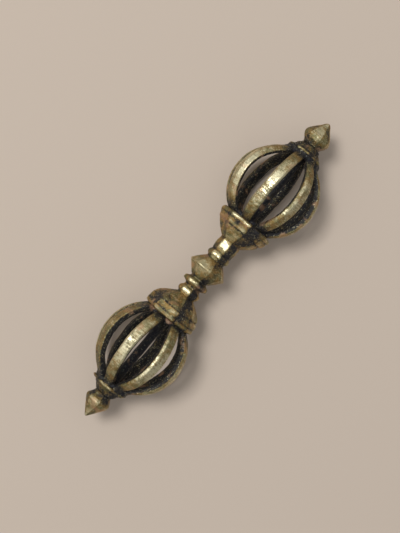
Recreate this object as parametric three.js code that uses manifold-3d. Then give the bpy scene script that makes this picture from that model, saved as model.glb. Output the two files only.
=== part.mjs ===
// Vajra amulet: a small double-ended ritual sceptre in hand-filed brass, lying on its side.
//
// A core rod runs from tip to tip. The octagonal handle pieces, the lotus cups, the tip ferrules and
// the finials are threaded on it, and inside each cage it shows as the central prong. Each cage has
// eight curved prongs, tenoned into the cup at the foot and into the ferrule at the tip.
//
// Millimetres, +Z up. +X runs along the core rod towards the right finial. The origin is on the
// surface that the amulet lies on, under the middle of the bead.
import * as THREE from "three";
import { mergeVertices } from "three/addons/utils/BufferGeometryUtils.js";
import Module from "manifold-3d";

// Pattern round the axis
const PRONG_COUNT = 8;
const PITCH = (2 * Math.PI) / PRONG_COUNT;
const HALF_PITCH = PITCH / 2;
const BORE_SIDES = 16;

// Fits
const FIT = 0.1; // clearance all round a rod in its bore and a tenon in its mortise
const CUT_RUN = 1; // how far a cutting shape runs on past the face that it cuts

// Core rod
const ROD_RADIUS = 1.15;
const ROD_IN_FINIAL = 2.9; // how deep each rod end is seated in its finial

// Centre bead, an octagonal double cone
const BEAD_HALF_LENGTH = 2.85;
const BEAD_RADIUS = 5.05;
const BEAD_END_RADIUS = 2.6;
const BEAD_RIDGE_WIDTH = 0.3;

// Cage of prongs
const CAGE_LENGTH = 20.8; // from the cup's face to the ferrule's face
const BELLY_FROM_CUP = 9.6; // from the cup's face to the widest station
const CAGE_RADIUS = 10.95; // outside of the prongs at the widest station
const FOOT_RADIUS = 5.7; // outside of the prongs where they stand on the cup
const BEND_RADIUS = 6.154; // outside of the prongs where they start to turn back
const TIP_BEND_LENGTH = 1.9; // where the prongs turn back to lie along the rod
const TIP_BEND_REACH = 0.45; // share of the bend's length that each of its ends steers
const PRONG_STEPS = 21; // odd, so that one flat step spans the widest station
const BEND_STEPS = 4;

// Prong section
const PRONG_WIDTH = 2.6;
const PRONG_CROWN_WIDTH = 1.24; // the middle facet of the filed outer face
const PRONG_INNER_WIDTH = 1.9;
const PRONG_INNER_BEVEL = 0.4;
const PRONG_THICKNESS = 1.85;
const PRONG_END_THICKNESS = 1.5;
const FOOT_GAP = 0.12; // between neighbouring prongs where they meet the cup's boss
const TIP_GAP = 0.5; // between the inner edges of neighbouring prong tips

// Tenons, square to the cup's and the ferrule's faces
const FOOT_TENON = { thickness: 1.1, width: 1.5, depth: 1.0 };
const TIP_TENON = { thickness: 0.9, width: 1.3, depth: 0.9 };
const TENON_ROOT = 0.5; // how far a tenon's root reaches back into its prong

// Lotus cup
const CUP_LEDGE = 0.9; // the rim's face stands this far out beyond the prong feet
const CUP_BOSS_HEIGHT = 0.9;
const RIM_BAND_WIDTH = 0.9;
const RIM_GROOVE_WIDTH = 0.6;
const RIM_GROOVE_DEPTH = 0.35;
const SECOND_BAND_WIDTH = 1.1;
const DOME_STEPS = 6;

// Tip ferrule
const FERRULE_LENGTH = 2.7;
const FERRULE_BAND_WIDTH = 0.9;
const FERRULE_BAND_CROWN = 0.15; // how far the band's middle stands proud of its edges
const FERRULE_NECK_RADIUS = 2.45;

// Where a neck piece's swelling starts and ends, as shares of its length
const SWELLING = { foot: 0.18, crest: 0.42, crestEnd: 0.66, footEnd: 0.88 };

// Finial
const FINIAL_COLLAR_HEIGHT = 0.15;
const FINIAL_COLLAR_END = 0.3; // share of the way from the neck to the belly
const FINIAL_SHOULDER = 0.75; // the same
const FINIAL_SHOULDER_DROP = 0.15;
const FINIAL_CONE_BREAK = 0.3; // share of the cone's length, where it steepens
const FINIAL_BREAK_DROP = 0.72;

// Neck pieces. The two ends differ from here on, because each was filed by eye.
const RIGHT_RING = { length: 2.2, innerRadius: 2.55, ridgeRadius: 3.15, outerRadius: 2.75 };
const RIGHT_SLEEVE = { length: 3.5, innerRadius: 2.75, ridgeRadius: 2.9, outerRadius: 2.8 };
const LEFT_INNER_RING = { length: 2.6, innerRadius: 2.3, ridgeRadius: 3.45, outerRadius: 2.25 };
const LEFT_OUTER_RING = { length: 2.6, innerRadius: 2.25, ridgeRadius: 3.05, outerRadius: 2.45 };

// Cup at each end. Its swell is 1 for a plain cone, and more for a rounder dome.
const RIGHT_CUP = { length: 6.05, neckRadius: 2.8, swell: 1.5 };
const LEFT_CUP = { length: 6.55, neckRadius: 2.5, swell: 2.2 };

// Finial at each end
const RIGHT_FINIAL = { bellyFromNeck: 2.5, bellyRadius: 3.65, coneLength: 4.4, bluntRadius: 0.6 };
const LEFT_FINIAL = { bellyFromNeck: 2.2, bellyRadius: 3.45, coneLength: 4.7, bluntRadius: 0.25 };

// Each end, with its neck pieces from the bead outwards
const RIGHT_END = {
  name: "right",
  turn: 0,
  neck: { neck_ring: RIGHT_RING, neck_sleeve: RIGHT_SLEEVE },
  cup: RIGHT_CUP,
  finial: RIGHT_FINIAL,
};
const LEFT_END = {
  name: "left",
  turn: Math.PI,
  neck: { neck_ring_inner: LEFT_INNER_RING, neck_ring_outer: LEFT_OUTER_RING },
  cup: LEFT_CUP,
  finial: LEFT_FINIAL,
};

// Finishes
const filedBrass = { color: 0xb09a5c, roughness: 0.32, metalness: 1 };
const castBrass = { color: 0x8f7a45, roughness: 0.5, metalness: 1 };
const darkBrass = { color: 0x2b241a, roughness: 0.6, metalness: 1 };

// Sizes that follow from the ones above
const boreRadius = ROD_RADIUS + FIT;
const bossRadius = (PRONG_WIDTH + FOOT_GAP) / 2 / Math.tan(HALF_PITCH);
const tipInnerRadius = (PRONG_INNER_WIDTH + TIP_GAP) / 2 / Math.tan(HALF_PITCH);
const tipRadius = tipInnerRadius + PRONG_END_THICKNESS;
const rimRadius = (FOOT_RADIUS + CUP_LEDGE) / Math.cos(HALF_PITCH);
// The prong's line is two quarter ellipses that meet at the belly.
const bendFromBelly = CAGE_LENGTH - TIP_BEND_LENGTH - BELLY_FROM_CUP;
const bendAngle = Math.asin(BEND_RADIUS / CAGE_RADIUS);
const tipHalfLength = bendFromBelly / Math.cos(bendAngle);
const footHalfLength = BELLY_FROM_CUP / Math.sqrt(1 - (FOOT_RADIUS / CAGE_RADIUS) ** 2);
const bevelDrop = ((PRONG_WIDTH - PRONG_CROWN_WIDTH) / 2) * Math.tan(HALF_PITCH);
// The two lowest prongs of each cage stand half a pitch to either side of straight down, so their
// bevels, which slope by that angle too, lie flat on the surface.
const axisHeight = CAGE_RADIUS * Math.cos(HALF_PITCH) + (PRONG_CROWN_WIDTH / 2) * Math.sin(HALF_PITCH);

const wasm = await Module();
wasm.setup();

// A closed geometry as a solid that can be cut and joined
function solidOf(geometry) {
  const bare = geometry.clone();
  bare.deleteAttribute("normal");
  bare.deleteAttribute("uv");
  const merged = mergeVertices(bare);
  return new wasm.Manifold(
    new wasm.Mesh({
      numProp: 3,
      vertProperties: merged.attributes.position.array,
      triVerts: new Uint32Array(merged.index.array),
    }),
  );
}

function geometryOf(solid) {
  const mesh = solid.getMesh();
  const geometry = new THREE.BufferGeometry();
  geometry.setAttribute("position", new THREE.BufferAttribute(mesh.vertProperties, 3));
  geometry.setIndex(new THREE.BufferAttribute(mesh.triVerts, 1));
  geometry.computeVertexNormals();
  return geometry;
}

// Turns an outline of [x, radius] points round the X axis. The corners of an eight-sided piece lie
// straight up and down, so its flats face the prongs.
function turned(outline, sides) {
  const points = outline.map(([x, radius]) => new THREE.Vector2(radius, x));
  return new THREE.LatheGeometry(points, sides).rotateZ(-Math.PI / 2);
}

// A round bar along X, for rods and for the tools that cut their bores
function bar(radius, from, to) {
  return turned([[from, 0], [from, radius], [to, radius], [to, 0]], BORE_SIDES);
}

// A block whose middle stands at a radius straight up from the axis
function block(from, to, width, thickness, radius) {
  const shape = new THREE.BoxGeometry(to - from, width, thickness);
  return shape.translate((from + to) / 2, 0, radius);
}

// An octagonal piece threaded on the core rod: an outline from one face to the other, and its bore
function threaded(outline) {
  const first = outline[0][0];
  const last = outline[outline.length - 1][0];
  const body = solidOf(turned([[first, 0], ...outline, [last, 0]], PRONG_COUNT));
  return body.subtract(solidOf(bar(boreRadius, first - CUT_RUN, last + CUT_RUN)));
}

// Centre bead

function makeBead() {
  const ridge = BEAD_RIDGE_WIDTH / 2;
  return threaded([
    [-BEAD_HALF_LENGTH, BEAD_END_RADIUS],
    [-ridge, BEAD_RADIUS],
    [ridge, BEAD_RADIUS],
    [BEAD_HALF_LENGTH, BEAD_END_RADIUS],
  ]);
}

// Neck ring or sleeve, with one swelling between two plain ends

function makeNeckPiece(piece, from) {
  const at = (share) => from + share * piece.length;
  return threaded([
    [at(0), piece.innerRadius],
    [at(SWELLING.foot), piece.innerRadius],
    [at(SWELLING.crest), piece.ridgeRadius],
    [at(SWELLING.crestEnd), piece.ridgeRadius],
    [at(SWELLING.footEnd), piece.outerRadius],
    [at(1), piece.outerRadius],
  ]);
}

// Lotus cup: a dome that flares from the neck, two bands at the rim, and a boss that the prong feet
// stand round

function cupOutline(cup, from) {
  const face = from + cup.length;
  const rimStart = face - RIM_BAND_WIDTH;
  const secondEnd = rimStart - RIM_GROOVE_WIDTH;
  const secondStart = secondEnd - SECOND_BAND_WIDTH;
  const domeEnd = secondStart - RIM_GROOVE_WIDTH;
  const radiusAt = (x) => {
    const left = (rimStart - x) / (rimStart - from);
    return cup.neckRadius + (rimRadius - cup.neckRadius) * (1 - left ** cup.swell);
  };
  const outline = [];
  for (let i = 0; i <= DOME_STEPS; i++) {
    const x = from + ((domeEnd - from) * i) / DOME_STEPS;
    outline.push([x, radiusAt(x)]);
  }
  for (const [start, end] of [[domeEnd, secondStart], [secondEnd, rimStart]]) {
    const middle = (start + end) / 2;
    if (start === secondEnd) outline.push([start, radiusAt(start)]);
    outline.push([middle, radiusAt(middle) - RIM_GROOVE_DEPTH], [end, radiusAt(end)]);
  }
  outline.push([face, rimRadius]);
  return outline;
}

function makeCup(cup, from) {
  const face = from + cup.length;
  const outline = cupOutline(cup, from);
  const bossTop = face + CUP_BOSS_HEIGHT;
  const footSeat = bossRadius - FIT;
  outline.push([face, footSeat], [bossTop, footSeat]);
  let body = solidOf(turned([[from, 0], ...outline, [bossTop, 0]], PRONG_COUNT));
  body = body.subtract(solidOf(bar(boreRadius, from - CUT_RUN, bossTop + CUT_RUN)));
  const mortise = block(
    face - FOOT_TENON.depth - FIT,
    face + CUT_RUN,
    FOOT_TENON.width + 2 * FIT,
    FOOT_TENON.thickness + 2 * FIT,
    footTenonRadius(),
  );
  return cutRound(body, mortise);
}

// Cuts one tool shape at each prong's angle
function cutRound(body, tool) {
  let cut = body;
  for (let k = 0; k < PRONG_COUNT; k++) {
    cut = cut.subtract(solidOf(tool.clone().rotateX(prongAngle(k))));
  }
  return cut;
}

// Prongs

function prongAngle(k) {
  return HALF_PITCH + k * PITCH;
}

function footTenonRadius() {
  return (bossRadius + FOOT_RADIUS) / 2;
}

function tipTenonRadius() {
  return (tipInnerRadius + tipRadius) / 2;
}

// The prong's outer line in the plane of the axis: the two quarter ellipses from the foot to the
// start of the bend, then a curve that turns back to lie along the rod at the ferrule. Each station
// has the point, the outward normal and the prong's thickness there.
function prongStations(cupFace) {
  const middle = cupFace + BELLY_FROM_CUP;
  const ferruleFace = cupFace + CAGE_LENGTH;
  const firstAngle = Math.PI - bendAngle;
  const stations = [];
  for (let i = 0; i <= PRONG_STEPS; i++) {
    const angle = firstAngle + ((bendAngle - firstAngle) * i) / PRONG_STEPS;
    const halfLength = Math.cos(angle) > 0 ? tipHalfLength : footHalfLength;
    const point = new THREE.Vector2(
      middle + halfLength * Math.cos(angle),
      CAGE_RADIUS * Math.sin(angle),
    );
    const normal = new THREE.Vector2(
      Math.cos(angle) / halfLength,
      Math.sin(angle) / CAGE_RADIUS,
    ).normalize();
    stations.push({ point, normal });
  }
  const last = stations[stations.length - 1];
  const along = new THREE.Vector2(last.normal.y, -last.normal.x);
  const reach = TIP_BEND_REACH * TIP_BEND_LENGTH;
  const end = new THREE.Vector2(ferruleFace, tipRadius);
  const bend = new THREE.CubicBezierCurve(
    last.point,
    last.point.clone().addScaledVector(along, reach / along.x),
    end.clone().add(new THREE.Vector2(-reach, 0)),
    end,
  );
  for (let i = 1; i <= BEND_STEPS; i++) {
    const tangent = bend.getTangent(i / BEND_STEPS);
    const normal = new THREE.Vector2(-tangent.y, tangent.x);
    if (i === BEND_STEPS) normal.set(0, 1);
    stations.push({ point: bend.getPoint(i / BEND_STEPS), normal });
  }
  // The foot runs straight on past the cup's face, where it is cut off square.
  const foot = stations[0];
  const back = new THREE.Vector2(-foot.normal.y, foot.normal.x).multiplyScalar(FOOT_RADIUS);
  stations.unshift({ point: foot.point.clone().add(back), normal: foot.normal });
  const half = (ferruleFace - cupFace) / 2;
  for (const station of stations) {
    const share = Math.min(1, Math.abs(station.point.x - cupFace - half) / half);
    const thinning = (PRONG_THICKNESS - PRONG_END_THICKNESS) * share ** 2;
    station.thickness = PRONG_THICKNESS - thinning;
  }
  return stations;
}

// The section's corners, as [across the prong, depth below its outer line]
function prongSection(thickness) {
  const crown = PRONG_CROWN_WIDTH / 2;
  const side = PRONG_WIDTH / 2;
  const inner = PRONG_INNER_WIDTH / 2;
  const right = [
    [crown, 0],
    [side, bevelDrop],
    [inner, thickness - PRONG_INNER_BEVEL],
    [inner - PRONG_INNER_BEVEL, thickness],
  ];
  const left = right.map(([across, depth]) => [-across, depth]).reverse();
  return [...right, ...left];
}

// Joins a row of rings, each with the same number of points, into a closed geometry
function loft(rings) {
  const count = rings[0].length;
  const positions = rings.flat().flatMap((point) => point.toArray());
  const index = [];
  for (let i = 0; i + 1 < rings.length; i++) {
    for (let j = 0; j < count; j++) {
      const a = i * count + j;
      const b = i * count + ((j + 1) % count);
      index.push(a, b + count, b, a, a + count, b + count);
    }
  }
  const lastRing = (rings.length - 1) * count;
  for (let j = 1; j + 1 < count; j++) {
    index.push(0, j, j + 1, lastRing, lastRing + j + 1, lastRing + j);
  }
  const geometry = new THREE.BufferGeometry();
  geometry.setAttribute("position", new THREE.Float32BufferAttribute(positions, 3));
  geometry.setIndex(index);
  return geometry;
}

// One prong, standing straight up from the axis
function makeProng(cupFace) {
  const ferruleFace = cupFace + CAGE_LENGTH;
  const rings = prongStations(cupFace).map(({ point, normal, thickness }) =>
    prongSection(thickness).map(
      ([across, depth]) =>
        new THREE.Vector3(point.x - depth * normal.x, across, point.y - depth * normal.y),
    ),
  );
  const wide = 4 * CAGE_RADIUS;
  const behindCup = block(cupFace - wide, cupFace, wide, wide, 0);
  const boss = turned(
    [
      [cupFace - CUT_RUN, 0],
      [cupFace - CUT_RUN, bossRadius],
      [cupFace + CUP_BOSS_HEIGHT + FIT, bossRadius],
      [cupFace + CUP_BOSS_HEIGHT + FIT, 0],
    ],
    PRONG_COUNT,
  );
  const footTenon = block(
    cupFace - FOOT_TENON.depth,
    cupFace + TENON_ROOT,
    FOOT_TENON.width,
    FOOT_TENON.thickness,
    footTenonRadius(),
  );
  const tipTenon = block(
    ferruleFace - TENON_ROOT,
    ferruleFace + TIP_TENON.depth,
    TIP_TENON.width,
    TIP_TENON.thickness,
    tipTenonRadius(),
  );
  return solidOf(loft(rings))
    .subtract(solidOf(behindCup))
    .subtract(solidOf(boss.rotateX(HALF_PITCH)))
    .add(solidOf(footTenon))
    .add(solidOf(tipTenon));
}

// Tip ferrule: a band over the prong tips that tapers to the finial's neck

function makeFerrule(face) {
  const neck = face + FERRULE_LENGTH;
  const bandEnd = face + FERRULE_BAND_WIDTH;
  const radius = tipRadius / Math.cos(HALF_PITCH);
  const body = threaded([
    [face, radius - FERRULE_BAND_CROWN],
    [face + FERRULE_BAND_WIDTH / 2, radius],
    [bandEnd, radius - FERRULE_BAND_CROWN],
    [(bandEnd + neck) / 2, (radius + FERRULE_NECK_RADIUS) / 2],
    [neck, FERRULE_NECK_RADIUS],
  ]);
  const mortise = block(
    face - CUT_RUN,
    face + TIP_TENON.depth + FIT,
    TIP_TENON.width + 2 * FIT,
    TIP_TENON.thickness + 2 * FIT,
    tipTenonRadius(),
  );
  return cutRound(body, mortise);
}

// Finial: a pointed bud, bored to take the end of the core rod

function makeFinial(finial, from) {
  const belly = from + finial.bellyFromNeck;
  const tip = belly + finial.coneLength;
  const outline = [
    [from, 0],
    [from, FERRULE_NECK_RADIUS],
    [from + FINIAL_COLLAR_END * finial.bellyFromNeck, FERRULE_NECK_RADIUS + FINIAL_COLLAR_HEIGHT],
    [from + FINIAL_SHOULDER * finial.bellyFromNeck, finial.bellyRadius - FINIAL_SHOULDER_DROP],
    [belly, finial.bellyRadius],
    [belly + FINIAL_CONE_BREAK * finial.coneLength, finial.bellyRadius - FINIAL_BREAK_DROP],
    [tip - finial.bluntRadius, finial.bluntRadius],
    [tip, 0],
  ];
  const bore = bar(boreRadius, from - CUT_RUN, from + ROD_IN_FINIAL + FIT);
  return solidOf(turned(outline, PRONG_COUNT)).subtract(solidOf(bore));
}

// Assembly

function named(name, solid, finish) {
  const mesh = new THREE.Mesh(geometryOf(solid), new THREE.MeshStandardMaterial(finish));
  mesh.name = name;
  return mesh;
}

// Everything on one side of the bead, stacked outwards along +X. Returns the group and the place
// where the core rod ends.
function makeEnd(end) {
  const group = new THREE.Group();
  let at = BEAD_HALF_LENGTH;
  for (const [name, piece] of Object.entries(end.neck)) {
    group.add(named(`${end.name}_${name}`, makeNeckPiece(piece, at), castBrass));
    at += piece.length;
  }
  group.add(named(`${end.name}_lotus_cup`, makeCup(end.cup, at), castBrass));
  at += end.cup.length;
  const prong = geometryOf(makeProng(at));
  for (let k = 0; k < PRONG_COUNT; k++) {
    const mesh = new THREE.Mesh(prong, new THREE.MeshStandardMaterial(filedBrass));
    mesh.name = `${end.name}_prong_${k + 1}`;
    mesh.rotation.x = prongAngle(k);
    group.add(mesh);
  }
  at += CAGE_LENGTH;
  group.add(named(`${end.name}_tip_ferrule`, makeFerrule(at), castBrass));
  at += FERRULE_LENGTH;
  group.add(named(`${end.name}_finial`, makeFinial(end.finial, at), filedBrass));
  group.rotation.z = end.turn;
  return { group, rodEnd: at + ROD_IN_FINIAL };
}

const amulet = new THREE.Group();
const rightEnd = makeEnd(RIGHT_END);
const leftEnd = makeEnd(LEFT_END);
amulet.add(named("centre_bead", makeBead(), castBrass));
amulet.add(named("core_rod", solidOf(bar(ROD_RADIUS, -leftEnd.rodEnd, rightEnd.rodEnd)), darkBrass));
amulet.add(rightEnd.group, leftEnd.group);
amulet.position.z = axisHeight;

export default amulet;
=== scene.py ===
# Vajra amulet in hand-filed brass: the visual model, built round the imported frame.
# Sizes are in millimetres and are turned into metres where a mesh is made. Angles are in degrees.
import random
from math import asin, cos, pi, radians, sin, sqrt

import bpy
import numpy as np
from mathutils import Matrix, Vector, noise


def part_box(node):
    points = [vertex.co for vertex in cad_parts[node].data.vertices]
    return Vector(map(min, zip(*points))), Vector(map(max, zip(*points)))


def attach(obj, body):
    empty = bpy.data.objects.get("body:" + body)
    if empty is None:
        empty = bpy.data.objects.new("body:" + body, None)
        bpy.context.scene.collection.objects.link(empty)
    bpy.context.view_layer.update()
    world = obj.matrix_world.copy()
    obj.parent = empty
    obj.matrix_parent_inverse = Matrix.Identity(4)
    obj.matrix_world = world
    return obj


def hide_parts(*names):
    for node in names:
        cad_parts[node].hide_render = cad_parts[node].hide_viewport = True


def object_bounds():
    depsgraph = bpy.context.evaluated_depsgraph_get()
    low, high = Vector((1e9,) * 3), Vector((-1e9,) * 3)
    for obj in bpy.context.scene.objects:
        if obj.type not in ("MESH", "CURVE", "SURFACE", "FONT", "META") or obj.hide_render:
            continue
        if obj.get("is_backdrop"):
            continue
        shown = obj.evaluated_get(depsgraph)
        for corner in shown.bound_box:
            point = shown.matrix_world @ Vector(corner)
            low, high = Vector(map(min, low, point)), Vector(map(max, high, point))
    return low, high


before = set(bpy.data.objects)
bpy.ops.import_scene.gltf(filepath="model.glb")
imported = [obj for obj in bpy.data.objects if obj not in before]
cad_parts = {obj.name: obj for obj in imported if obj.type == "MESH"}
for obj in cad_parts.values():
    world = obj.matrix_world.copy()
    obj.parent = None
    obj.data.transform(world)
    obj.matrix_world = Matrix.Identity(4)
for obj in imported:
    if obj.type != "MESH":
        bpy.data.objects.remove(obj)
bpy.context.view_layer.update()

MM = 0.001


# Places taken from the frame
def node_span(node):
    low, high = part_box(node)
    return low / MM, high / MM


rod_low, rod_high = node_span("core_rod")
AXIS_HEIGHT = (rod_low.z + rod_high.z) / 2
ROD_RADIUS = (rod_high.z - rod_low.z) / 2
BEAD_HALF_LENGTH = node_span("centre_bead")[1].x
BEAD_RADIUS = node_span("centre_bead")[1].z - AXIS_HEIGHT

# Pattern round the axis
PRONG_COUNT = 8
PITCH = 360 / PRONG_COUNT
HALF_PITCH = PITCH / 2

# Cage, repeated from the construction
CAGE_LENGTH = 20.8
BELLY_FROM_CUP = 9.6
CAGE_RADIUS = 10.95
FOOT_RADIUS = 5.7
TIP_RADIUS = 4.4
BEND_RADIUS = 6.154
TIP_BEND_LENGTH = 1.9
TIP_BEND_REACH = 0.45
PRONG_WIDTH = 2.6
PRONG_THICKNESS = 1.85
PRONG_END_THICKNESS = 1.5
FOOT_SINK = 0.3  # how far a foot and a tip run on into the piece that holds them
BEVEL_SLOPE = 0.9  # how far a prong's bevel falls for each step across
RIM_RADIUS = (FOOT_RADIUS + 0.9) / cos(radians(HALF_PITCH))
FERRULE_RADIUS = TIP_RADIUS / cos(radians(HALF_PITCH))

# Mesh fineness
PRONG_STATIONS = 150
ARC_POINTS = 200
BEND_POINTS = 40
SECTION_STEP = 0.13
ROUND_STEPS = 176
PROFILE_STEP = 0.1
ROD_STEP = 0.2

# Camera
VIEW_TILT = 9.5
AXIS_SLOPE = 50.0
CAMERA_DISTANCE = 0.28
FRAME_HEIGHT_PIXELS = 533
PIXEL_SIZE = 0.2368 * MM
AIM_PIXEL_OFFSET = (7.3, 3.4)  # right of and below the picture's middle
SENSOR = 36

# Light. Each share is what the light adds on the floor, and they come to about 1, at which a colour
# renders as it is written.
KEY = {"lean": 27, "distance": 1.2, "size": 0.3, "share": 0.52}
SOFT = {"lean": 18, "distance": 1.2, "size": 1.7, "share": 0.22}
WORLD_SHARE = 0.26
FLOOR_COLOUR = (0.61, 0.515, 0.43)


# Mesh helpers

def mesh_piece(name, vertices, faces, material, slot, nodes=(), **attributes):
    """A piece from points in millimetres, with its per-point values, riding on the one body."""
    mesh = bpy.data.meshes.new(name)
    mesh.from_pydata([tuple(p) for p in np.asarray(vertices) * MM], [], faces)
    for key, values in attributes.items():
        values = np.asarray(values, np.float32)
        kind = "FLOAT" if values.ndim == 1 else "FLOAT_VECTOR"
        attribute = mesh.attributes.new(key, kind, "POINT")
        attribute.data.foreach_set("value" if values.ndim == 1 else "vector", values.ravel())
    mesh.polygons.foreach_set("use_smooth", np.ones(len(faces), bool))
    mesh.materials.append(material)
    piece = bpy.data.objects.new(name, mesh)
    bpy.context.scene.collection.objects.link(piece)
    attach(piece, "root")
    if nodes:
        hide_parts(*nodes)
    return piece


def ring_faces(rows, columns, closed_rows=False):
    """Quads over a grid of points that closes round its columns."""
    faces = []
    for i in range(rows if closed_rows else rows - 1):
        here, there = i * columns, ((i + 1) % rows) * columns
        for j in range(columns):
            k = (j + 1) % columns
            faces.append((here + j, there + j, there + k, here + k))
    return faces


def smooth_loop(values, times):
    for _ in range(times):
        values = (np.roll(values, 1, 0) + 2 * values + np.roll(values, -1, 0)) / 4
    return values


def smooth_line(values, times):
    for _ in range(times):
        inner = (values[:-2] + 2 * values[1:-1] + values[2:]) / 4
        values = np.concatenate([values[:1], inner, values[-1:]])
    return values


def bumps(points, scale, seed, octaves=3):
    """Noise from about -1 to 1 at each point. Scale is the size of a bump in millimetres."""
    shift = Vector((seed * 13.7, seed * 5.3, seed * 9.1))
    return np.array([
        noise.fractal(Vector(p) / scale + shift, 0.9, 2.1, octaves) for p in np.asarray(points)
    ])


def outward(end):
    return 1 if end == "right" else -1


def place(end, x, across, radial, angle):
    """A point from its place along the end, across a radial plane, and its radius there.

    Angle 0 is straight up, and it grows towards -Y at both ends.
    """
    a = radians(angle)
    y = across * cos(a) - radial * sin(a)
    z = across * sin(a) + radial * cos(a)
    return np.stack([outward(end) * x, y, z + AXIS_HEIGHT], axis=-1)


# Prongs

def prong_line(cup_face):
    """The outer line of a prong, evenly spaced: places, outward normals and lengths along it."""
    middle = cup_face + BELLY_FROM_CUP
    ferrule_face = cup_face + CAGE_LENGTH
    last = asin(BEND_RADIUS / CAGE_RADIUS)
    tip_half = (CAGE_LENGTH - TIP_BEND_LENGTH - BELLY_FROM_CUP) / cos(last)
    foot_half = BELLY_FROM_CUP / sqrt(1 - (FOOT_RADIUS / CAGE_RADIUS) ** 2)
    angles = np.linspace(pi - last, last, ARC_POINTS)
    half = np.where(np.cos(angles) > 0, tip_half, foot_half)
    arc = np.stack([middle + half * np.cos(angles), CAGE_RADIUS * np.sin(angles)], 1)
    tangent = np.array([tip_half * sin(last), -CAGE_RADIUS * cos(last)])
    reach = TIP_BEND_REACH * TIP_BEND_LENGTH
    p0 = arc[-1]
    p1 = p0 + tangent * reach / tangent[0]
    p3 = np.array([ferrule_face + FOOT_SINK, TIP_RADIUS])
    p2 = p3 - np.array([reach, 0])
    t = np.linspace(0, 1, BEND_POINTS)[1:, None]
    bend = (1 - t) ** 3 * p0 + 3 * (1 - t) ** 2 * t * p1 + 3 * (1 - t) * t * t * p2 + t ** 3 * p3
    foot_way = arc[0] - arc[1]
    foot_way *= (arc[0][0] - cup_face + FOOT_SINK) / -foot_way[0]
    line = np.concatenate([[arc[0] + foot_way], arc, bend])
    lengths = np.concatenate([[0], np.cumsum(np.linalg.norm(np.diff(line, axis=0), axis=1))])
    even = np.linspace(0, lengths[-1], PRONG_STATIONS)
    points = np.stack([np.interp(even, lengths, line[:, k]) for k in range(2)], 1)
    slope = smooth_line(np.gradient(points, axis=0), 2)
    normals = np.stack([-slope[:, 1], slope[:, 0]], 1)
    normals /= np.linalg.norm(normals, axis=1)[:, None]
    return points, normals, even


def prong_section(bevels, rounding):
    """The section's points: across, depth below the outer line, and how far each is filed bright.

    Positive across is the side of smaller angles, as is the first bevel.
    """
    half_width = PRONG_WIDTH / 2
    sides = []
    for bevel in bevels:
        drop = bevel * half_width * BEVEL_SLOPE
        sides.append([
            (half_width * (1 - bevel), 0.0, 0.9),
            (half_width, drop, 1.0),
            (half_width, drop + 0.14, 0.12),
            (half_width * 0.97, PRONG_THICKNESS * 0.66, 0.0),
            (half_width * 0.8, PRONG_THICKNESS * 0.91, 0.0),
            (half_width * 0.45, PRONG_THICKNESS, 0.05),
        ])
    far_side = [(-across, depth, filed) for across, depth, filed in reversed(sides[1])]
    corners = np.array(sides[0] + far_side)
    points = []
    for start, end in zip(corners, np.roll(corners, -1, 0)):
        steps = max(1, round(float(np.hypot(*(end - start)[:2])) / SECTION_STEP))
        points += [start + (end - start) * step / steps for step in range(steps)]
    return smooth_loop(np.array(points), rounding)


def broken_line(chooser, even, spacing, height):
    """Heights along a line that was filed flat by flat, with a kink where two flats meet."""
    breaks = [0.0]
    while breaks[-1] < even[-1]:
        breaks.append(breaks[-1] + spacing * chooser.uniform(0.6, 1.4))
    heights = [chooser.uniform(-height, height) for _ in breaks]
    return np.interp(even, breaks, heights)


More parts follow.
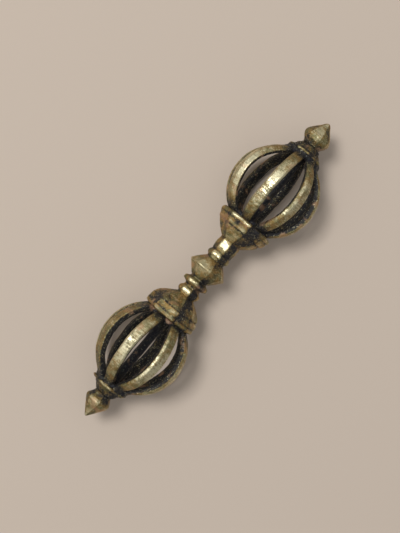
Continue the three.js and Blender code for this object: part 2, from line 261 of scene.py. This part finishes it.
def make_prong(end, number, cup_face, angle, shape, material):
    """One filed prong. Shape says how it differs from the nominal one."""
    seed = number + (20 if end == "left" else 0)
    chooser = random.Random(seed)
    line, normals, even = prong_line(cup_face)
    section = prong_section(shape["bevels"], shape["rounding"])
    columns = len(section)
    share = even / even[-1]
    belly = np.sin(pi * share) ** 1.5
    end_share = np.abs(2 * share - 1)
    thinning = 1 - (1 - PRONG_END_THICKNESS / PRONG_THICKNESS) * end_share ** 2
    thickness = thinning + broken_line(chooser, even, 4.5, 0.04)
    width = shape["width"] * (1 + broken_line(chooser, even, 5.0, 0.05))
    width = width * (1 - 0.08 * np.clip(end_share - 0.6, 0, 1) / 0.4)
    side_step = broken_line(chooser, even, 7.0, 0.16) * belly
    lift = smooth_line(broken_line(chooser, even, 3.4, 0.07), 8) * np.sqrt(belly)
    lift = lift + shape["stretch"] * belly
    lean = radians(3.5) * smooth_line(broken_line(chooser, even, 5.5, 1.0), 8)
    rows = []
    for i in range(PRONG_STATIONS):
        across = section[:, 0] * width[i]
        depth = section[:, 1] * thickness[i]
        turned_across = across * cos(lean[i]) + depth * sin(lean[i]) + side_step[i]
        turned_depth = depth * cos(lean[i]) - across * sin(lean[i]) - lift[i]
        x = line[i, 0] - turned_depth * normals[i, 0]
        radial = line[i, 1] - turned_depth * normals[i, 1]
        rows.append(place(end, x, turned_across, radial, angle))
    grid = np.array(rows)
    centre = grid.mean(1, keepdims=True)
    flat = grid.reshape(-1, 3)
    way = (grid - centre).reshape(-1, 3)
    way /= np.linalg.norm(way, axis=1)[:, None]
    filed = np.tile(section[:, 2], PRONG_STATIONS)
    skin = 1 - np.clip(filed / 0.8, 0, 1)
    near_end = np.repeat(np.clip((end_share - 0.74) / 0.26, 0, 1), columns)
    push = bumps(flat, 1.1, seed, 4) * (0.014 + 0.1 * skin + 0.1 * near_end)
    push = push + bumps(flat, 0.42, seed + 9, 2) * 0.05 * skin
    push = push + bumps(flat, 3.5, seed + 3, 2) * (0.03 + 0.1 * near_end)
    flat = flat + way * push[:, None]
    worn = filed * (0.3 + 0.62 * np.repeat(belly, columns)) * shape["shine"]
    wear = np.clip(worn - 0.4 * near_end + 0.16 * bumps(flat, 2.4, seed + 5, 3) * filed, 0, 1)
    steps = np.linalg.norm(np.diff(section[:, :2], axis=0), axis=1)
    girth = np.tile(np.concatenate([[0], np.cumsum(steps)]), PRONG_STATIONS)
    along = np.repeat(even, columns)
    grain = np.stack([along, girth, np.full(len(flat), seed * 3.7)], 1)
    faces = ring_faces(PRONG_STATIONS, columns)
    caps = np.stack([flat[:columns].mean(0), flat[-columns:].mean(0)])
    last = (PRONG_STATIONS - 1) * columns
    first_cap, last_cap = len(flat), len(flat) + 1
    for j in range(columns):
        k = (j + 1) % columns
        faces.append((first_cap, j, k))
        faces.append((last_cap, last + k, last + j))
    if end == "left":
        faces = [face[::-1] for face in faces]
    node = f"{end}_prong_{number}"
    return mesh_piece(
        node + "_filed", np.concatenate([flat, caps]), faces, material, "filed_brass", [node],
        wear=np.concatenate([wear, [0, 0]]), grain=np.concatenate([grain, grain[:2]]),
    )


# Pieces turned round the axis, filed into eight facets. Each list says how bright each facet is made,
# from the one beside straight up on the -Y side, and on round. This is partly filed wear and partly
# painted light: the last facet, which faces the key lamp, carries a painted highlight, and the first,
# which faces away from it, painted shade.
BEAD_FACETS = [0.4, 0.62, 0.5, 0.6, 0.45, 0.55, 0.6, 0.8]
NECK_FACETS = [0.06, 0.55, 0.45, 0.6, 0.35, 0.5, 0.48, 1.0]
FERRULE_FACETS = [0.2, 0.35, 0.3, 0.45, 0.3, 0.35, 0.2, 0.75]
FINIAL_FACETS = [0.3, 0.5, 0.35, 0.4, 0.3, 0.45, 0.34, 0.62]
FACET_SHARE = 0.42  # share of the pitch, to each side of a facet's middle, where it is flat


def facet_radius(theta, chooser, uneven, sharpness):
    """Radius round a facetted piece whose corners lie at 1, with its flats unevenly filed."""
    total = np.zeros_like(theta)
    flat = cos(radians(HALF_PITCH))
    for k in range(PRONG_COUNT):
        normal = radians(HALF_PITCH + k * PITCH + chooser.uniform(-1, 1) * uneven * 120)
        distance = flat * (1 + chooser.uniform(-1, 1) * uneven)
        total += (np.clip(np.cos(theta - normal), 0, 1) / distance) ** sharpness
    return total ** (-1 / sharpness)


def facet_levels(theta, levels):
    """How bright each facet is made, from filed wear and from painted highlight and shade, blended
    over the corners, and where the corners are.
    """
    at = (np.degrees(theta) - HALF_PITCH) / PITCH
    places = [k + side * FACET_SHARE for k in range(PRONG_COUNT) for side in (-1, 1)]
    values = [level for level in levels for _ in range(2)]
    from_middle = np.abs((at + 0.5) % 1 - 0.5)
    corner = np.clip((from_middle - FACET_SHARE) / (0.5 - FACET_SHARE), 0, 1)
    return np.interp(at, places, values, period=PRONG_COUNT), corner


def dent_depth(x, theta, radius, dents):
    """How deep each point lies in its dents, each (x, angle, reach along, reach round, depth)."""
    depth = np.zeros_like(radius)
    for middle, angle, along, round_it, deep in dents:
        turn = (theta - radians(angle) + pi) % (2 * pi) - pi
        depth += deep * np.exp(-((x - middle) / along) ** 2 - (turn * radius / round_it) ** 2)
    return depth


def turned_piece(name, end, outline, material, slot, nodes, seed, facets, bore=ROD_RADIUS + 0.1,
                 uneven=0.02, rough=0.03, lumps=1.2, sharpness=46, rounding=2, groove_side=None,
                 dents=(), step=PROFILE_STEP):
    """A facetted piece from an outline of (x, radius, groove depth, wear), bored for the rod.

    Grooves are cut full depth round groove_side, an angle, and fade out opposite it. A piece with
    no bore closes on the axis.
    """
    chooser = random.Random(seed)
    outline = np.array(outline, float)
    steps = np.concatenate([[0], np.cumsum(np.hypot(*np.diff(outline[:, :2], axis=0).T))])
    even = np.linspace(0, steps[-1], max(12, int(steps[-1] / step)))
    profile = np.stack([np.interp(even, steps, outline[:, k]) for k in range(4)], 1)
    profile = smooth_line(profile, rounding)
    theta = np.linspace(0, 2 * pi, ROUND_STEPS, endpoint=False)
    shape = facet_radius(theta, chooser, uneven, sharpness)
    cut = np.ones_like(theta)
    if groove_side is not None:
        cut = 0.06 + 0.94 * np.clip(0.25 + 0.9 * np.cos(theta - radians(groove_side)), 0, 1)
    radius = profile[:, 1][:, None] * shape[None, :] - profile[:, 2][:, None] * cut[None, :]
    x = np.repeat(profile[:, 0][:, None], ROUND_STEPS, 1)
    sway = broken_line(chooser, even, 2.5, uneven * 1.5)[:, None] * np.cos(theta - seed)[None, :]
    radius = radius + sway * profile[:, 1][:, None] / 4
    dent = dent_depth(x, theta[None, :], radius, dents)
    radius = radius - dent
    level, corner = facet_levels(theta, facets)
    # The facet levels add painted light: a painted highlight on the facet facing the key lamp,
    # painted shade on the one facing away.
    wear = profile[:, 3][:, None] * (level + 0.25 * corner)[None, :] - 1.5 * dent
    unfiled = np.tile(np.clip(1.25 - level, 0.25, 1), len(profile))
    side = outward(end)
    y = -radius * np.sin(theta)
    z = radius * np.cos(theta)
    flat = np.stack([side * x, y, z + AXIS_HEIGHT], -1).reshape(-1, 3)
    push = bumps(flat, 0.9, seed, 4) * rough * unfiled * 1.6
    push = push + bumps(flat, 3.0, seed + 7, 2) * rough * lumps
    off_axis = np.clip(radius.reshape(-1) / 2.0, 0, 1)
    new_radius = radius.reshape(-1) + push * off_axis
    flat[:, 1] = -new_radius * np.sin(np.tile(theta, len(profile)))
    flat[:, 2] = new_radius * np.cos(np.tile(theta, len(profile))) + AXIS_HEIGHT
    wear = np.clip(wear.reshape(-1) + 0.22 * bumps(flat, 2.2, seed + 11, 3), 0, 1)
    around = np.tile(theta, len(profile)) * radius.reshape(-1).clip(0.5)
    grain = np.stack([flat[:, 0], around, np.full(len(flat), seed * 2.3)], 1)
    rows = len(profile)
    if bore:
        inner = np.array([
            (side * bore_end, -bore * sin(turn), bore * cos(turn) + AXIS_HEIGHT)
            for bore_end in (profile[-1, 0], profile[0, 0]) for turn in theta
        ])
        flat = np.concatenate([flat, inner])
        wear = np.concatenate([wear, np.zeros(len(inner))])
        grain = np.concatenate([grain, grain[-ROUND_STEPS:], grain[:ROUND_STEPS]])
        faces = ring_faces(rows + 2, ROUND_STEPS, True)
    else:
        faces = ring_faces(rows, ROUND_STEPS)
        caps = np.array([
            [side * profile[0, 0], 0, AXIS_HEIGHT],
            [side * profile[-1, 0], 0, AXIS_HEIGHT],
        ])
        last = (rows - 1) * ROUND_STEPS
        first_cap, last_cap = len(flat), len(flat) + 1
        for j in range(ROUND_STEPS):
            k = (j + 1) % ROUND_STEPS
            faces.append((first_cap, j, k))
            faces.append((last_cap, last + k, last + j))
        flat = np.concatenate([flat, caps])
        wear = np.concatenate([wear, [0, wear[-1]]])
        grain = np.concatenate([grain, grain[:2]])
    if end == "right":
        faces = [face[::-1] for face in faces]
    return mesh_piece(name, flat, faces, material, slot, nodes, wear=wear, grain=grain)


def make_bead(material):
    start, end = -BEAD_HALF_LENGTH, BEAD_HALF_LENGTH
    outline = [
        (start, 2.2, 0, 0.2), (start, 2.55, 0, 0.4), (start * 0.55, 3.75, 0, 0.75),
        (-0.22, BEAD_RADIUS - 0.12, 0, 0.9), (-0.05, BEAD_RADIUS + 0.02, 0, 1),
        (0.05, BEAD_RADIUS + 0.02, 0, 1), (0.22, BEAD_RADIUS - 0.12, 0, 0.9),
        (end * 0.55, 3.8, 0, 0.75), (end, 2.55, 0, 0.4), (end, 2.2, 0, 0.2),
    ]
    return turned_piece(
        "centre_bead_filed", "right", outline, material, "cast_brass", ["centre_bead"], 3,
        BEAD_FACETS, uneven=0.025, rough=0.03, rounding=1,
    )


NECK_PIECES = {
    "right_neck_ring": (2.55, 3.15, 2.75),
    "right_neck_sleeve": (2.75, 2.95, 2.85),
    "left_neck_ring_inner": (2.3, 3.45, 2.25),
    "left_neck_ring_outer": (2.25, 3.05, 2.5),
}


def make_neck_piece(node, material, seed):
    end = node.split("_")[0]
    low, high = node_span(node)
    start = min(abs(low.x), abs(high.x))
    length = high.x - low.x
    inner, ridge, outer = NECK_PIECES[node]
    outline = [
        (start, inner - 0.35, 0, 0.1), (start, inner, 0, 0.3), (start + 0.16 * length, inner, 0, 0.5),
        (start + 0.38 * length, ridge - 0.08, 0, 0.8), (start + 0.54 * length, ridge, 0, 1),
        (start + 0.7 * length, ridge - 0.08, 0, 0.8), (start + 0.9 * length, outer, 0, 0.5),
        (start + length, outer - 0.05, 0, 0.3), (start + length, outer - 0.4, 0, 0.1),
    ]
    return turned_piece(
        node + "_filed", end, outline, material, "cast_brass", [node], seed, NECK_FACETS,
        uneven=0.03, rough=0.06, sharpness=36,
    )


# The cups' facets differ, partly by wear and partly by painted light, with a painted highlight on the
# last facet and painted shade on the first, and each has dents of its own, such as the dimple by the
# right one's rim.
CUPS = {
    "right": {
        "neck": 2.85, "swell": 1.5, "seed": 41, "rough": 0.07,
        "facets": [0.2, 0.62, 0.45, 0.55, 0.35, 0.5, 0.5, 0.95],
        "dents": [(12.9, -28, 1.0, 1.1, 0.42), (13.9, 12, 0.7, 1.3, 0.3), (11.2, 30, 1.2, 0.8, 0.25)],
    },
    "left": {
        "neck": 2.5, "swell": 2.2, "seed": 42, "rough": 0.1,
        "facets": [0.28, 0.66, 0.45, 0.5, 0.4, 0.55, 0.4, 0.72],
        "dents": [(12.6, -62, 1.5, 1.4, 0.3), (10.4, -40, 0.9, 0.8, 0.2), (12.2, 8, 2.2, 0.3, 0.25)],
    },
}
RIM_BAND = 0.9
GROOVE_WIDTH = 0.6
SECOND_BAND = 1.1
GROOVE_DEPTH = 0.5


def make_cup(end, face, material):
    settings = CUPS[end]
    neck = {"right": "right_neck_sleeve", "left": "left_neck_ring_outer"}[end]
    low, high = node_span(neck)
    start = max(abs(low.x), abs(high.x))
    rim_start = face - RIM_BAND

    def radius_at(x):
        left = np.clip((rim_start - x) / (rim_start - start), 0, 1)
        return settings["neck"] + (RIM_RADIUS - settings["neck"]) * (1 - left ** settings["swell"])

    second_end = rim_start - GROOVE_WIDTH
    second_start = second_end - SECOND_BAND
    dome_end = second_start - GROOVE_WIDTH
    outline = [(start, settings["neck"] - 0.4, 0, 0.1)]
    for x in np.linspace(start, dome_end, 14):
        outline.append((x, radius_at(x), 0, 0.62))
    for a, b in ((dome_end, second_start), (second_end, rim_start)):
        outline.append((a + 0.1, radius_at(a), 0.1, 0.5))
        outline.append(((a + b) / 2, radius_at((a + b) / 2), GROOVE_DEPTH, 0.0))
        outline.append((b - 0.05, radius_at(b), 0.05, 0.8))
        outline.append((b + 0.25, radius_at(b + 0.25), 0, 0.9))
    outline += [
        (face - 0.5, RIM_RADIUS, 0, 1), (face - 0.25, RIM_RADIUS - 0.12, 0, 0.9),
        (face, RIM_RADIUS - 0.5, 0, 0.45), (face + 0.12, 5.9, 0, 0.15), (face + 0.15, 5.2, 0, 0.0),
        (face + 0.3, 3.4, 0, 0.0), (face + 0.9, 3.1, 0, 0.0), (face + 0.9, 1.6, 0, 0.0),
    ]
    return turned_piece(
        f"{end}_lotus_cup_filed", end, outline, material, "cast_brass", [f"{end}_lotus_cup"],
        settings["seed"], settings["facets"], uneven=0.035, rough=settings["rough"], lumps=2.2,
        sharpness=40, groove_side=100, dents=settings["dents"],
    )


def make_ferrule(end, material):
    node = f"{end}_tip_ferrule"
    low, high = node_span(node)
    start = min(abs(low.x), abs(high.x))
    neck = max(abs(low.x), abs(high.x))
    band = 0.9
    outline = [
        (start - 0.05, 2.0, 0, 0), (start, FERRULE_RADIUS - 0.5, 0, 0.1),
        (start + 0.15, FERRULE_RADIUS - 0.2, 0, 0.4), (start + 0.45, FERRULE_RADIUS - 0.05, 0, 0.95),
        (start + band - 0.1, FERRULE_RADIUS - 0.25, 0, 0.6), (start + band + 0.15, 3.85, 0, 0.1),
        (start + band + 0.6, 3.5, 0, 0.35), (neck - 0.35, 2.75, 0, 0.2), (neck, 2.45, 0, 0.05),
        (neck, 2.0, 0, 0),
    ]
    return turned_piece(
        node + "_filed", end, outline, material, "cast_brass", [node], 51 + outward(end),
        FERRULE_FACETS, uneven=0.05, rough=0.16, lumps=2.0, sharpness=20,
    )


FINIALS = {
    "right": {"belly": 2.5, "radius": 3.65, "blunt": 0.62, "seed": 61},
    "left": {"belly": 2.2, "radius": 3.45, "blunt": 0.3, "seed": 62},
}


def make_finial(end, material):
    settings = FINIALS[end]
    node = f"{end}_finial"
    low, high = node_span(node)
    start = min(abs(low.x), abs(high.x))
    tip = max(abs(low.x), abs(high.x))
    belly, radius, blunt = start + settings["belly"], settings["radius"], settings["blunt"]
    outline = [
        (start, 0.01, 0, 0), (start, 2.3, 0, 0.1), (start + 0.3, 2.42, 0, 0.25),
        (start + 0.75, 2.6, 0, 0.4), (start + 1.25, radius - 0.55, 0, 0.6),
        (belly - 0.5, radius - 0.12, 0, 0.85), (belly, radius, 0, 1),
        (belly + 0.45, radius - 0.1, 0, 1), (belly + 1.35, radius - 0.72, 0, 0.95),
        (tip - 2 * blunt, 2.15 * blunt, 0, 0.95), (tip - 0.7 * blunt, 1.25 * blunt, 0, 1),
        (tip - 0.12, 0.55 * blunt, 0, 1), (tip, 0.01, 0, 1),
    ]
    return turned_piece(
        node + "_filed", end, outline, material, "filed_brass", [node], settings["seed"],
        FINIAL_FACETS, bore=0, uneven=0.03, rough=0.05, sharpness=18, rounding=5,
    )


def make_rod(material):
    half = rod_high.x
    low, high = rod_low.x, rod_high.x
    # Dark residue brass and little wear: partly patina, partly painted shade, as the rod lies in the
    # cage's shadow.
    outline = [(low, 0.01, 0, 0), (low, ROD_RADIUS - 0.05, 0, 0)]
    for x in np.linspace(low + 0.2, high - 0.2, int(half * 2)):
        outline.append((x, ROD_RADIUS, 0, 0.12))
    outline += [(high, ROD_RADIUS - 0.05, 0, 0), (high, 0.01, 0, 0)]
    return turned_piece(
        "core_rod_patina_and_painted_shade", "right", outline, material, "dark_brass", ["core_rod"], 71,
        [1.0] * PRONG_COUNT, bore=0, uneven=0.02, rough=0.12, sharpness=8, step=ROD_STEP,
    )


# Brazing residue: a lumpy ring of dark flux and oxide between the feet or the tips

def make_residue(end, where, x, ring_radius, tube, seed, material):
    theta = np.linspace(0, 2 * pi, 180, endpoint=False)
    around = np.linspace(0, 2 * pi, 22, endpoint=False)
    between = 0.5 + 0.5 * np.cos(theta * PRONG_COUNT)
    circle = np.stack([np.cos(theta), np.sin(theta), np.zeros_like(theta)], 1)
    size = tube * (0.8 + 0.3 * between + 0.45 * bumps(circle * ring_radius, 1.6, seed + 4, 2))
    rows = []
    for angle, width in zip(theta, size):
        radius = ring_radius + width * np.cos(around)
        rows.append(np.stack(
            [
                outward(end) * (x + 0.8 * width * np.sin(around)),
                -radius * sin(angle),
                radius * cos(angle) + AXIS_HEIGHT,
            ],
            -1,
        ))
    grid = np.array(rows)
    centre = grid.mean(1, keepdims=True)
    flat = grid.reshape(-1, 3)
    way = (grid - centre).reshape(-1, 3)
    way /= np.linalg.norm(way, axis=1)[:, None]
    push = bumps(flat, 0.8, seed, 4) * 0.22 + bumps(flat, 2.2, seed + 1, 2) * 0.3
    flat = flat + way * push[:, None]
    wear = np.clip(0.08 + 0.3 * bumps(flat, 1.5, seed + 2, 3), 0, 1)
    faces = ring_faces(len(theta), len(around), True)
    if end == "left":
        faces = [face[::-1] for face in faces]
    return mesh_piece(
        f"{end}_{where}_residue", flat, faces, material, "dark_brass", wear=wear, grain=flat,
    )


# Materials

class Graph:
    """A short way to write a material's nodes."""

    def __init__(self, name):
        self.material = bpy.data.materials.new(name)
        self.material.use_nodes = True
        self.tree = self.material.node_tree
        self.shader = self.tree.nodes["Principled BSDF"]

    def node(self, kind, inputs=None, **settings):
        made = self.tree.nodes.new(kind)
        for key, value in settings.items():
            setattr(made, key, value)
        for key, value in (inputs or {}).items():
            self.plug(made.inputs[key], value)
        return made

    def plug(self, socket, value):
        if isinstance(value, bpy.types.NodeSocket):
            self.tree.links.new(value, socket)
        else:
            socket.default_value = value

    def maths(self, operation, *values, clamp=False):
        made = self.node("ShaderNodeMath", operation=operation, use_clamp=clamp)
        for socket, value in zip(made.inputs, values):
            self.plug(socket, value)
        return made.outputs[0]

    def mix(self, share, first, second):
        inputs = {"Factor": share, "A": first, "B": second}
        made = self.node("ShaderNodeMix", data_type="RGBA")
        for key, value in inputs.items():
            found = [s for s in made.inputs if s.name == key and s.type in ("RGBA", "VALUE")]
            found = [s for s in found if (s.type == "RGBA") == (key != "Factor")]
            self.plug(found[0], value)
        return [s for s in made.outputs if s.type == "RGBA"][0]

    def attribute(self, name):
        return self.node("ShaderNodeAttribute", attribute_name=name)

    def scaled(self, vector, scale):
        made = self.node("ShaderNodeVectorMath", operation="MULTIPLY")
        self.plug(made.inputs[0], vector)
        self.plug(made.inputs[1], scale)
        return made.outputs[0]

    def noise(self, vector, scale, detail=3.0, rough=0.55):
        inputs = {"Vector": vector, "Scale": scale, "Detail": detail, "Roughness": rough}
        return self.node("ShaderNodeTexNoise", inputs).outputs["Fac"]

    def spread(self, value, low, high):
        inputs = {"Value": value, "From Min": low, "From Max": high}
        made = self.node("ShaderNodeMapRange", inputs, interpolation_type="SMOOTHSTEP")
        return made.outputs["Result"]


def brass(name, bare, amber, olive, patina, gloss, marks_depth, skin_depth):
    """Brass in three states by the mesh's wear, which on turned pieces also holds painted highlight
    and shade: black patina, brown oxide and bare filed metal.
    """
    g = Graph(name)
    place_mm = g.scaled(g.node("ShaderNodeTexCoord").outputs["Object"], (1000, 1000, 1000))
    grain = g.attribute("grain").outputs["Vector"]
    file_marks = g.noise(g.scaled(grain, (4.8, 0.4, 1.0)), 1.0, 3.0, 0.65)
    clouds = g.noise(place_mm, 0.4, 4.0, 0.6)
    blotches = g.noise(place_mm, 1.1, 3.0, 0.6)
    specks = g.noise(place_mm, 3.4, 3.0, 0.65)
    pits = g.noise(place_mm, 1.8, 5.0, 0.7)

    # On turned pieces this value also holds the painted highlight and painted shade from the facet
    # lists.
    level = g.attribute("wear").outputs["Fac"]
    for part, weight in ((clouds, 0.8), (blotches, 0.55), (specks, 0.75)):
        level = g.maths("MULTIPLY_ADD", g.maths("SUBTRACT", part, 0.5), weight, level)
    oxide_share = g.spread(level, 0.02, 0.5)
    filed_level = g.maths("MULTIPLY_ADD", g.maths("SUBTRACT", file_marks, 0.5), 0.9, level)
    bare_share = g.spread(filed_level, 0.42, 0.98)
    unfiled = g.maths("SUBTRACT", 1.0, bare_share)
    flecks = g.maths("MULTIPLY", g.spread(specks, 0.6, 0.69), unfiled)

    brown = g.mix(g.spread(g.noise(place_mm, 0.7, 2.0), 0.42, 0.6), amber, olive)
    colour = g.mix(oxide_share, patina, brown)
    colour = g.mix(bare_share, colour, bare)
    blush = g.spread(g.noise(place_mm, 0.3, 2.0), 0.6, 0.7)
    colour = g.mix(g.maths("MULTIPLY", blush, 0.45), colour, COPPER)
    g.plug(g.shader.inputs["Base Color"], g.mix(flecks, colour, bare))

    metal = g.maths("MAXIMUM", oxide_share, flecks)
    g.plug(g.shader.inputs["Metallic"], g.maths("MULTIPLY_ADD", metal, 0.6, 0.4))
    rough = g.maths("MULTIPLY_ADD", bare_share, gloss - PATINA_ROUGHNESS, PATINA_ROUGHNESS)
    rough = g.maths("MULTIPLY_ADD", flecks, -0.2, rough)
    rough = g.maths("MULTIPLY_ADD", g.maths("SUBTRACT", blotches, 0.5), 0.3, rough, clamp=True)
    g.plug(g.shader.inputs["Roughness"], rough)

    height = g.maths("MULTIPLY", g.maths("MULTIPLY", file_marks, bare_share), marks_depth)
    height = g.maths("MULTIPLY_ADD", g.maths("MULTIPLY", pits, unfiled), skin_depth, height)
    height = g.maths("MULTIPLY_ADD", specks, 0.02, height)
    bump = g.node("ShaderNodeBump", {"Height": height, "Distance": MM, "Strength": 1.0})
    g.plug(g.shader.inputs["Normal"], bump.outputs["Normal"])
    return g.material


def floor_material():
    g = Graph("plain_floor")
    g.plug(g.shader.inputs["Base Color"], (*FLOOR_COLOUR, 1))
    g.plug(g.shader.inputs["Roughness"], 0.9)
    g.plug(g.shader.inputs["Specular IOR Level"], 0.1)
    return g.material


COPPER = (0.62, 0.36, 0.2, 1)
PATINA_ROUGHNESS = 0.5
filed_brass = brass(
    "filed_brass", bare=(0.78, 0.72, 0.48, 1), amber=(0.34, 0.23, 0.08, 1),
    olive=(0.27, 0.24, 0.11, 1), patina=(0.016, 0.015, 0.016, 1),
    gloss=0.4, marks_depth=0.045, skin_depth=0.24,
)
cast_brass = brass(
    "cast_brass", bare=(0.68, 0.61, 0.38, 1), amber=(0.4, 0.26, 0.09, 1),
    olive=(0.25, 0.22, 0.1, 1), patina=(0.02, 0.018, 0.019, 1),
    gloss=0.39, marks_depth=0.045, skin_depth=0.26,
)
dark_brass = brass(
    "dark_brass", bare=(0.34, 0.34, 0.27, 1), amber=(0.07, 0.06, 0.045, 1),
    olive=(0.06, 0.068, 0.062, 1), patina=(0.013, 0.013, 0.02, 1),
    gloss=0.3, marks_depth=0.03, skin_depth=0.26,
)

# The amulet. Angles are from straight up towards -Y. Each cage was set up a few degrees askew, and
# some prongs differ from the plain one: in their turn round the axis, how far the belly stands out,
# their bevels as shares of half the width, how rounded and wide they are, and how bright.
CAGE_TWIST = {"right": 3.0, "left": -3.0}
PLAIN_PRONG = {
    "turn": 0.0, "stretch": 0.0, "bevels": (0.28, 0.28), "rounding": 1, "width": 1.0, "shine": 0.85,
}
PRONG_CHANGES = {
    ("right", 1): {"bevels": (0.5, 0.3), "rounding": 4},
    ("right", 2): {"stretch": 0.1},
    ("right", 5): {"stretch": -0.1},
    ("right", 6): {"stretch": 0.05},
    ("right", 7): {"turn": -7.0, "stretch": 0.1, "bevels": (0.28, 0.75), "width": 1.12, "shine": 1.0},
    ("right", 8): {"shine": 1.0, "width": 1.04},
    ("left", 1): {"shine": 1.0, "width": 1.04},
    ("left", 2): {"stretch": -0.3, "bevels": (0.2, 0.12), "shine": 0.62, "width": 1.1},
    ("left", 3): {"stretch": -0.1},
    ("left", 4): {"stretch": 0.1},
    ("left", 8): {"stretch": -0.1, "bevels": (0.45, 0.2), "rounding": 2, "shine": 0.95},
}
for end in ("right", "left"):
    tips = min(abs(corner.x) for corner in node_span(f"{end}_tip_ferrule"))
    feet = tips - CAGE_LENGTH
    for number in range(1, PRONG_COUNT + 1):
        shape = PLAIN_PRONG | PRONG_CHANGES.get((end, number), {})
        around = HALF_PITCH + (number - 1) * PITCH
        angle = outward(end) * around + CAGE_TWIST[end] + shape["turn"]
        make_prong(end, number, feet, angle, shape, filed_brass)
    make_cup(end, feet, cast_brass)
    make_ferrule(end, cast_brass)
    make_finial(end, filed_brass)
    make_residue(end, "foot", feet + 0.4, 4.6, 0.85, 81 + outward(end), dark_brass)
    make_residue(end, "tip", tips - 0.4, 3.65, 0.85, 91 + outward(end), dark_brass)
make_bead(cast_brass)
for index, node in enumerate(NECK_PIECES):
    make_neck_piece(node, cast_brass, 31 + index)
make_rod(dark_brass)


# Floor, light and camera

def make_floor(level):
    reach = 3
    mesh = bpy.data.meshes.new("floor")
    corners = [(-1, -1), (1, -1), (1, 1), (-1, 1)]
    mesh.from_pydata([(reach * x, reach * y, level) for x, y in corners], [], [(0, 1, 2, 3)])
    mesh.materials.append(floor_material())
    floor = bpy.data.objects.new("floor", mesh)
    bpy.context.scene.collection.objects.link(floor)
    floor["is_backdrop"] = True


def aimed(thing, where, target):
    thing.location = where
    thing.rotation_euler = (Vector(target) - Vector(where)).to_track_quat("-Z", "Y").to_euler()
    bpy.context.scene.collection.objects.link(thing)


def make_lamp(name, settings, target):
    """A square lamp over the +Y side, with the power that adds its share of light on the floor."""
    lean, distance = radians(settings["lean"]), settings["distance"]
    lamp = bpy.data.lights.new(name, "AREA")
    lamp.energy = settings["share"] * pi ** 2 * distance ** 2 / cos(lean)
    lamp.size = settings["size"]
    where = target + distance * Vector((0, sin(lean), cos(lean)))
    aimed(bpy.data.objects.new(name, lamp), where, target)


def make_lights(target):
    make_lamp("key", KEY, target)
    make_lamp("soft", SOFT, target)
    world = bpy.data.worlds.new("room")
    world.use_nodes = True
    world.node_tree.nodes["Background"].inputs["Color"].default_value = (1, 1, 1, 1)
    world.node_tree.nodes["Background"].inputs["Strength"].default_value = WORLD_SHARE
    bpy.context.scene.world = world


def make_camera(target):
    """Looks down on the amulet from slightly behind it, rolled so that it lies along the slope."""
    tilt, slope = radians(VIEW_TILT), radians(AXIS_SLOPE)
    along = Vector((1, 0, 0))
    over = Vector((0, cos(tilt), -sin(tilt)))
    back = Vector((0, sin(tilt), cos(tilt)))
    right = cos(slope) * along - sin(slope) * over
    up = sin(slope) * along + cos(slope) * over
    aim = target - AIM_PIXEL_OFFSET[0] * PIXEL_SIZE * right + AIM_PIXEL_OFFSET[1] * PIXEL_SIZE * up
    camera = bpy.data.objects.new("camera", bpy.data.cameras.new("camera"))
    turn = Matrix((right, up, back)).transposed().to_4x4()
    camera.matrix_world = Matrix.Translation(aim + back * CAMERA_DISTANCE) @ turn
    height = FRAME_HEIGHT_PIXELS * PIXEL_SIZE
    camera.data.sensor_fit = "VERTICAL"
    camera.data.sensor_height = SENSOR
    camera.data.lens = SENSOR * CAMERA_DISTANCE / height
    bpy.context.scene.collection.objects.link(camera)
    bpy.context.scene.camera = camera


handle_middle = Vector((0, 0, AXIS_HEIGHT * MM))
make_floor(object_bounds()[0].z)
make_lights(handle_middle)
make_camera(handle_middle)
bpy.context.scene.view_settings.view_transform = "Standard"
